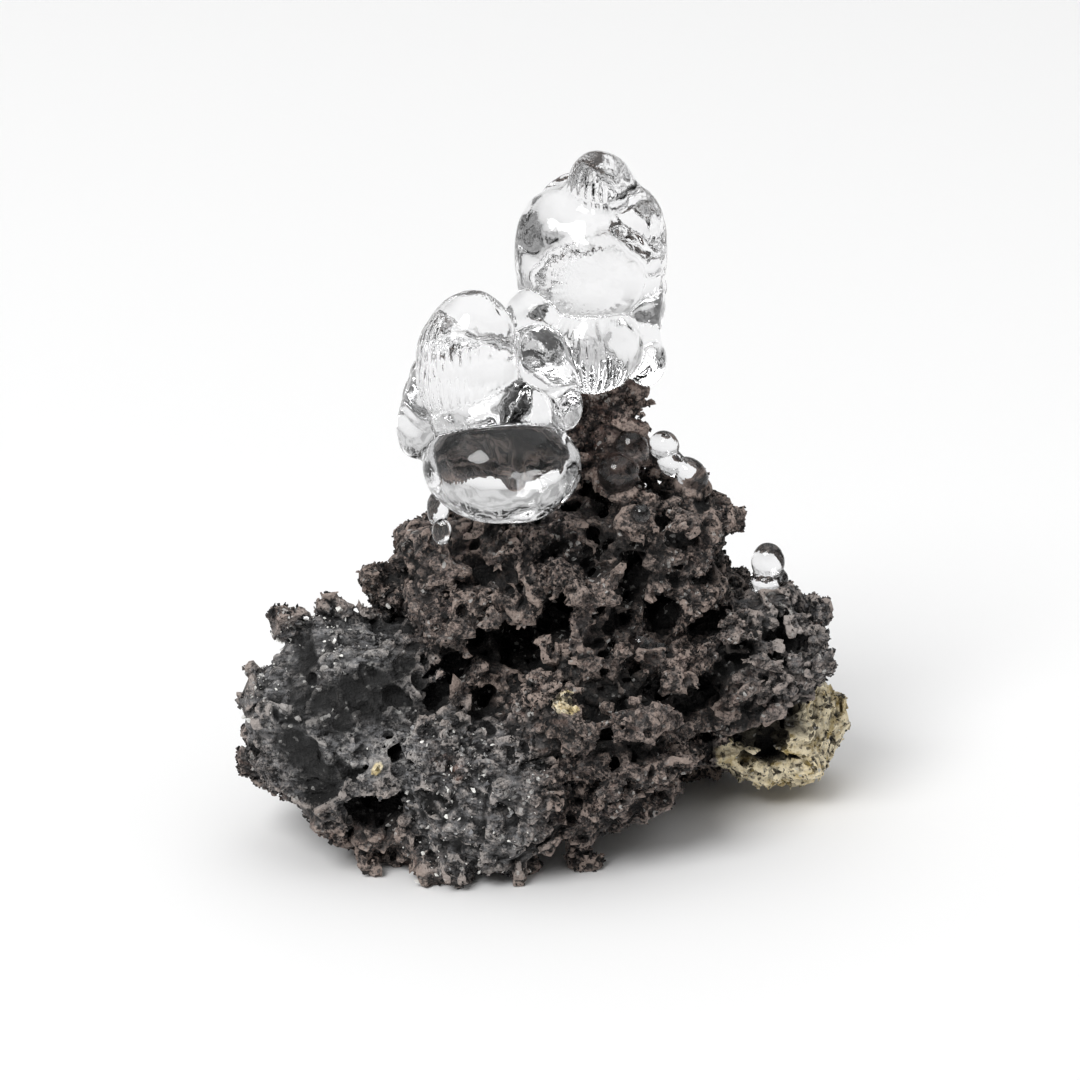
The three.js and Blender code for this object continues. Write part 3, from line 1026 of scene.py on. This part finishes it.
speck_drifts = rock.times(rock.ramp(rock.noise(2.2), 0.47, 0.62, 0.05, 1.0), rock.ramp(rim, 0.35, 0.6))
speck = rock.times(rock.ramp(rock.grain_tone(0.24), 0.9, 0.93), speck_drifts)
body = rock.mix(rock.times(speck, 0.8), body, colour(0.5, 0.49, 0.47))
relief = {"Height": rock.sum(fine, rock.grains(0.2)), "Distance": 0.00015, "Strength": 0.8}
bump = rock.make("ShaderNodeBump", relief)
rock.finish({"Base Color": body, "Roughness": rock.ramp(speck, 0.0, 1.0, 0.78, 0.35), "Normal": bump})
for piece in [scoria] + crumb_pieces:
    piece.data.materials.append(rock.material)
print("scoria's finish has", len(rock.tree.nodes), "nodes")

# %% [markdown]
# ## Bright grains
#
# White grains of feldspar sit in the dense lava and catch the light, most of all on the front foot and along
# the top of the knee. They are small flat splinters, made like the crumbs but paler and glossier.

# %% Feldspar grains
FELDSPAR_GRAINS = 420
BRIGHT_SPOTS = [
    ((-6.4, -12.5, 6.6), (3.4, 4.0, 4.2)),
    ((-17.2, -5.4, 15.4), (4.2, 4.2, 1.8)),
    ((-20.0, -7.0, 12.4), (1.6, 2.5, 1.6)),
]


def bright_share(places):
    spread = 0.02 * read(smooth_share, places)
    for centre, radii in BRIGHT_SPOTS:
        rho = (((places - np.array(centre)) / np.array(radii)) ** 2).sum(1)
        spread = spread + np.exp(-rho)
    return spread * np.clip(1.1 - np.clip(-read(smooth_stone, places), 0, None) / 0.9, 0, 1)


rng = np.random.default_rng(80)
spots, normals = spots_on(scoria, FELDSPAR_GRAINS, bright_share, rng)
sizes = 0.07 + 0.2 * rng.random(FELDSPAR_GRAINS) ** 3
splinters = crumb_shapes(6, rng)
feldspar, grain_of, _ = crumbs_at("feldspar_grains", spots, normals, sizes, 0.45, splinters, 0.35, rng)
note(feldspar, "shade", rng.random(FELDSPAR_GRAINS)[grain_of])
pale = Finish("feldspar")
pale_tone = pale.ramp(pale.sum(pale.noted("shade"), pale.noise(0.3)), 0.5, 1.2)
pale_colour = pale.mix(pale_tone, colour(0.2, 0.2, 0.21), colour(0.85, 0.84, 0.8))
pale.finish({"Base Color": pale_colour, "Roughness": 0.3})
feldspar.data.materials.append(pale.material)
print("feldspar grains:", len(sizes), "of", triangles_in(feldspar), "triangles")

# %% [markdown]
# ## The opal's shape
#
# Drops of opal grew on top of one another and fused. Blender's metaballs could do this, but a smooth minimum
# of distances lets each lobe have its own crease, sharp or soft, and creases are what the eye sees in clear
# glass. Where the crease is sharp, a fine groove follows it. Slow waves and faint ripples keep the knobs from
# being perfect balls, and on four of them shallow folds run down like the ribs of a melon.

# %% Waves, folds and smooth unions
WAVES = ((3.4, 0.04), (1.9, 0.008), (1.1, 0.008))
FOLD_WIDTH = 0.65
CAP, FRONT_BULGE, BELLY, EGG = TOWER[11], TOWER[12], TOWER[13], CLUSTER[5]
FOLDED = {EGG: 0.055, BELLY: 0.022, FRONT_BULGE: 0.016, CAP: 0.03}
GROOVE_DEPTH, GROOVE_WIDTH = 0.11, 0.13


def ripple(x, y, z, seed):
    rng = np.random.default_rng(seed)
    total = 0
    for length, height in WAVES:
        for _ in range(6):
            way = rng.standard_normal(3)
            way *= 2 * np.pi / (length * rng.uniform(0.8, 1.25) * np.linalg.norm(way))
            phase = rng.uniform(0, 2 * np.pi)
            total = total + height * 0.6 * np.sin(way[0] * x + way[1] * y + way[2] * z + phase)
    return total


def folds(lobe, x, y, z):
    (cx, cy, cz), (rx, ry, rz), _, _ = lobe
    u, v = (x - cx - shift[0]) / rx, (y - cy - shift[1]) / ry
    if lobe == FRONT_BULGE:
        v = (z - cz) / rz
    angle = np.arctan2(v, u)
    count = round(2 * math.pi * max(rx, ry) / FOLD_WIDTH)
    wobble = 2.0 * np.sin(2 * angle + cx) + 0.9 * np.sin(5 * angle + 3 * cz) + 0.5 * (z - cz)
    patch = 0.55 + 0.45 * np.sin(angle - 1.9 + 0.5 * (z - cz))
    fade = np.clip((np.hypot(u, v) - 0.15) / 0.4, 0, 1)
    return FOLDED[lobe] * fade * patch**2 * np.sin(count * angle + wobble)


def smooth_union(one, other, crease):
    blend = np.clip(crease - np.abs(one - other), 0, None) / crease
    return np.minimum(one, other) - blend**2 * crease / 4


def grooved_union(one, other, crease):
    groove = GROOVE_DEPTH * max(0, 1 - crease / 0.6) * np.exp(-(((one - other) / GROOVE_WIDTH) ** 2))
    return smooth_union(one, other, crease) + groove


def growth_at(points, lobes, seed):
    field = np.full(len(points), FAR)
    for lobe in lobes:
        centre = np.array(lobe[0]) + shift
        close = np.flatnonzero(((points - centre) ** 2).sum(1) < (max(lobe[1]) + 1.5) ** 2)
        place = points[close].T
        distance = lobe_distance(lobe, *place)
        if lobe in FOLDED:
            distance += folds(lobe, *place)
        field[close] = grooved_union(field[close], distance, lobe[3])
    return field + ripple(*points.T, seed)


def growth_and_slope(points, lobes, seed, h=1e-3):
    value = growth_at(points, lobes, seed)
    slope = np.empty_like(points)
    for a in range(3):
        ahead = points.copy()
        ahead[:, a] += h
        slope[:, a] = (growth_at(ahead, lobes, seed) - value) / h
    return value, slope


print("folded lobes:", len(FOLDED), "fold width, mm:", FOLD_WIDTH)

# %% [markdown]
# ## Small buds on the back
#
# Hyalite is botryoidal, which means like a bunch of grapes. The large grapes face the front here, and shallow
# small ones cover their backs, where each shows through the clear body as a curved line. They are scattered
# on the large lobes. One that would be buried, or would crowd another, is dropped.


# %% Scattering small buds
def small_buds(lobes, mothers, count, seed):
    rng = np.random.default_rng(seed)
    buds, tips = [], []
    for _ in range(count * 30):
        centre, radii, _, _ = mothers[rng.integers(len(mothers))]
        way = rng.standard_normal(3)
        way[1] = abs(way[1])
        way /= np.linalg.norm(way)
        size, proud = rng.uniform(0.9, 2.0), rng.uniform(0.1, 0.24)
        tip = np.array(centre) + way * (1 / np.linalg.norm(way / np.array(radii)) + proud)
        buried = min(float(lobe_distance(lobe, *(tip + shift))) for lobe in lobes) < 0.06
        crowded = any(
            np.linalg.norm(tip - other) < 1.25 * min(size, bud[1][0]) for bud, other in zip(buds, tips)
        )
        if way[1] > 0.5 and not buried and not crowded:
            buds.append((tuple(tip - way * size), (size, size, size), 0, rng.uniform(0.15, 0.5)))
            tips.append(tip)
        if len(buds) == count:
            break
    return buds


GLOBE = CLUSTER[10]
budding = [lobe for lobe in CLUSTER if min(lobe[1]) > 1.5 and lobe != GLOBE]
small_ones = small_buds(TOWER, TOWER[:10], 50, 55) + small_buds(CLUSTER, budding, 34, 56)
GROWTHS["hyalite_tower_and_globe"] += small_ones
print("small buds:", len(small_ones))

# %% [markdown]
# ## From lobes to a mesh
#
# Each growth gets a block of cells of its own, and a skin is drawn through it. Folds and grooves are finer
# than those cells. So each point of the skin is then moved along the slope of the exact distance until the
# distance is zero, which takes two rounds. The slope there also gives exact normals, so that the glass is
# smooth between its points.

# %% Meshing a growth
OPAL_STEP = 0.133


def opal_piece(name, lobes, seed):
    centres = np.array([lobe[0] for lobe in lobes]) + shift
    longest = np.array([[max(lobe[1])] for lobe in lobes])
    first = np.floor((centres - longest - 0.6).min(0) / OPAL_STEP).astype(int)
    last = np.ceil((centres + longest + 0.6).max(0) / OPAL_STEP).astype(int)
    axes = [np.arange(first[a], last[a] + 1) * OPAL_STEP for a in range(3)]
    field = np.full([len(axis) for axis in axes], FAR, np.float32)
    for lobe, centre, reach in zip(lobes, centres, longest + 1.5):
        ends = [np.searchsorted(axes[a], (centre[a] - reach[0], centre[a] + reach[0])) for a in range(3)]
        part = tuple(slice(*end) for end in ends)
        x, y, z = np.ix_(*(axes[a][part[a]] for a in range(3)))
        field[part] = smooth_union(field[part], lobe_distance(lobe, x, y, z), lobe[3])
    field += ripple(*np.ix_(*axes), seed).astype(np.float32)
    points, quads = skin_of(field, first, OPAL_STEP)
    points, quads = largest_part(points.astype(np.float64), quads)
    for _ in range(2):
        value, slope = growth_and_slope(points, lobes, seed)
        points -= slope * (value / (slope**2).sum(1))[:, None]
    _, slope = growth_and_slope(points, lobes, seed)
    piece = new_piece(name, points * MM, quads)
    piece.data.normals_split_custom_set_from_vertices(slope / np.linalg.norm(slope, axis=1)[:, None])
    return piece


opals = {}
for number, (name, lobes) in enumerate(GROWTHS.items()):
    opals[name] = opal_piece(name + ".glass", lobes, 60 + number)
print("opal triangles:", {name: triangles_in(piece) for name, piece in opals.items()})

# %% [markdown]
# ## Clear opal
#
# Hyalite bends light a little less than window glass. Full transmission, a plain index of 1.45 and no
# roughness are enough for the clear growths. The two smoky buds drink a little light on its way through, so
# they also get a volume that absorbs. All these are plain values on the shaders' own sockets.


# %% Opal's finishes
def glass(name):
    made = Finish(name)
    clearness = {"Roughness": 0.0, "IOR": 1.45, "Transmission Weight": 1.0}
    made.finish({"Base Color": colour(0.93, 0.93, 0.935)} | clearness)
    return made


clear, smoky = glass("hyalite"), glass("smoky_hyalite")
smoke = smoky.make("ShaderNodeVolumeAbsorption", {"Color": colour(0.55, 0.52, 0.5), "Density": 120.0})
smoky.put(smoky.tree.nodes["Material Output"].inputs["Volume"], smoke)
for name, piece in opals.items():
    piece.data.materials.append((smoky if name == "hyalite_smoky_buds" else clear).material)
    piece.data.shade_smooth()
print("opal pieces:", len(opals))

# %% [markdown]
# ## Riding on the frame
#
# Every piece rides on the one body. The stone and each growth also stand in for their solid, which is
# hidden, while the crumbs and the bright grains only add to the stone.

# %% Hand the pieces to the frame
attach(scoria, "root")
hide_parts("scoria_matrix")
for piece in crumb_pieces + [feldspar]:
    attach(piece, "root")
for name, piece in opals.items():
    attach(piece, "root")
    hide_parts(name)
print("pieces:", 2 + len(crumb_pieces) + len(opals))

# %% [markdown]
# ## Floor
#
# A wide pale floor, like a sheet of white board. It fills the whole background.

# %% Floor
FLOOR_SIZE = 8
bpy.ops.mesh.primitive_plane_add(size=FLOOR_SIZE)
floor = bpy.context.object
floor.name = "floor"
paper = Finish("floor")
paper.finish({"Base Color": colour(0.9, 0.9, 0.9), "Roughness": 0.9})
floor.data.materials.append(paper.material)
print("floor, metres:", floor.dimensions[:])

# %% [markdown]
# ## Surroundings
#
# Clear glass only shows what is round it. In an all-white room it would vanish. So the surroundings go by
# height: white cloth walls low down, a dark band above them, broken into streaks, that draws the creases, and
# a wide softbox overhead that lights the stone. Four upright dark flags stand between the walls and draw
# outlines down the sides of the knobs, and the room behind the camera is dimmer. Noise gives the cloth its
# folds and breaks up the borders.

# %% Surroundings
WALL, EDGE, SOFTBOX, FLAG, ROOM = 0.7, 0.05, 1.05, 0.12, 0.5
TO_CAMERA = (0, -0.94, 0.34)
world = bpy.data.worlds.new("studio")
bpy.context.scene.world = world
world.use_nodes = True
sky = Nodes(world.node_tree, "Generated", 1)
height = sky.part_of(sky.place, 2)
border = sky.sum(height, sky.times(sky.noise(1 / 2.2, 3.0, 0.5), 0.5))
cloth = sky.noise(1 / 5, 2.0, 0.5, distortion=1.5)
streaks = sky.ramp(sky.noise(1 / 6, 4.0, 0.5, distortion=2.5), 0.45, 0.54)
light = sky.ramp(cloth, 0.35, 0.6, 0.6 * WALL, WALL)
light = sky.blend(sky.times(sky.ramp(border, 0.53, 0.61), streaks), light, EDGE)
light = sky.blend(sky.ramp(border, 0.87, 0.99), light, SOFTBOX)

level = sky.vector("NORMALIZE", sky.vector("MULTIPLY", sky.place, (1, 1, 0)))
sideways = sky.math("ABSOLUTE", sky.part_of(level, 0))
off_flag = sky.math("ABSOLUTE", sky.math("SUBTRACT", sideways, 0.87))
flags = sky.blend(sky.ramp(height, 0.45, 0.6), sky.ramp(off_flag, 0.05, 0.1, FLAG, 1.0), 1.0)
near_camera = sky.vector("DOT_PRODUCT", sky.place, TO_CAMERA, "Value")
light = sky.times(sky.times(light, flags), sky.ramp(near_camera, 0.8, 0.88, 1.0, ROOM))
background = sky.tree.nodes["Background"]
sky.put(background.inputs["Color"], colour(1, 1, 1))
sky.put(background.inputs["Strength"], light)
print("nodes in the surroundings:", len(sky.tree.nodes))

# %% [markdown]
# ## Lamp
#
# One wide round lamp, high up in front and to the left, shapes the stone and gives it a soft shadow.

# %% Lamp
lamp_data = bpy.data.lights.new("key lamp", "AREA")
lamp_data.shape = "DISK"
lamp_data.size = 0.9
lamp_data.energy = 21.5
lamp = bpy.data.objects.new("key lamp", lamp_data)
bpy.context.scene.collection.objects.link(lamp)
lamp.location = (-0.7, -1.0, 1.3)
lamp_aim = mathutils.Vector((0, 0, 0.015))
lamp.rotation_euler = (lamp_aim - lamp.location).to_track_quat("-Z", "Y").to_euler()
print("lamp's distance, metres:", round((lamp_aim - lamp.location).length, 2))

# %% [markdown]
# ## Camera
#
# The camera looks down on the stone by twenty degrees through a long lens, from a quarter of a metre away.

# %% Camera
TILT = math.radians(20)
CAMERA_DISTANCE = 0.2495
aim = mathutils.Vector((-0.91, -0.02, 20.7)) * MM
camera_data = bpy.data.cameras.new("camera")
camera_data.lens = 120
camera_data.sensor_width = 36
camera_data.clip_start = 0.01
camera = bpy.data.objects.new("camera", camera_data)
bpy.context.scene.collection.objects.link(camera)
camera.location = aim + CAMERA_DISTANCE * mathutils.Vector((0, -math.cos(TILT), math.sin(TILT)))
camera.rotation_euler = (math.pi / 2 - TILT, 0, 0)
bpy.context.scene.camera = camera
bpy.context.scene.view_settings.view_transform = "Standard"
print("camera at", [round(v, 3) for v in camera.location])
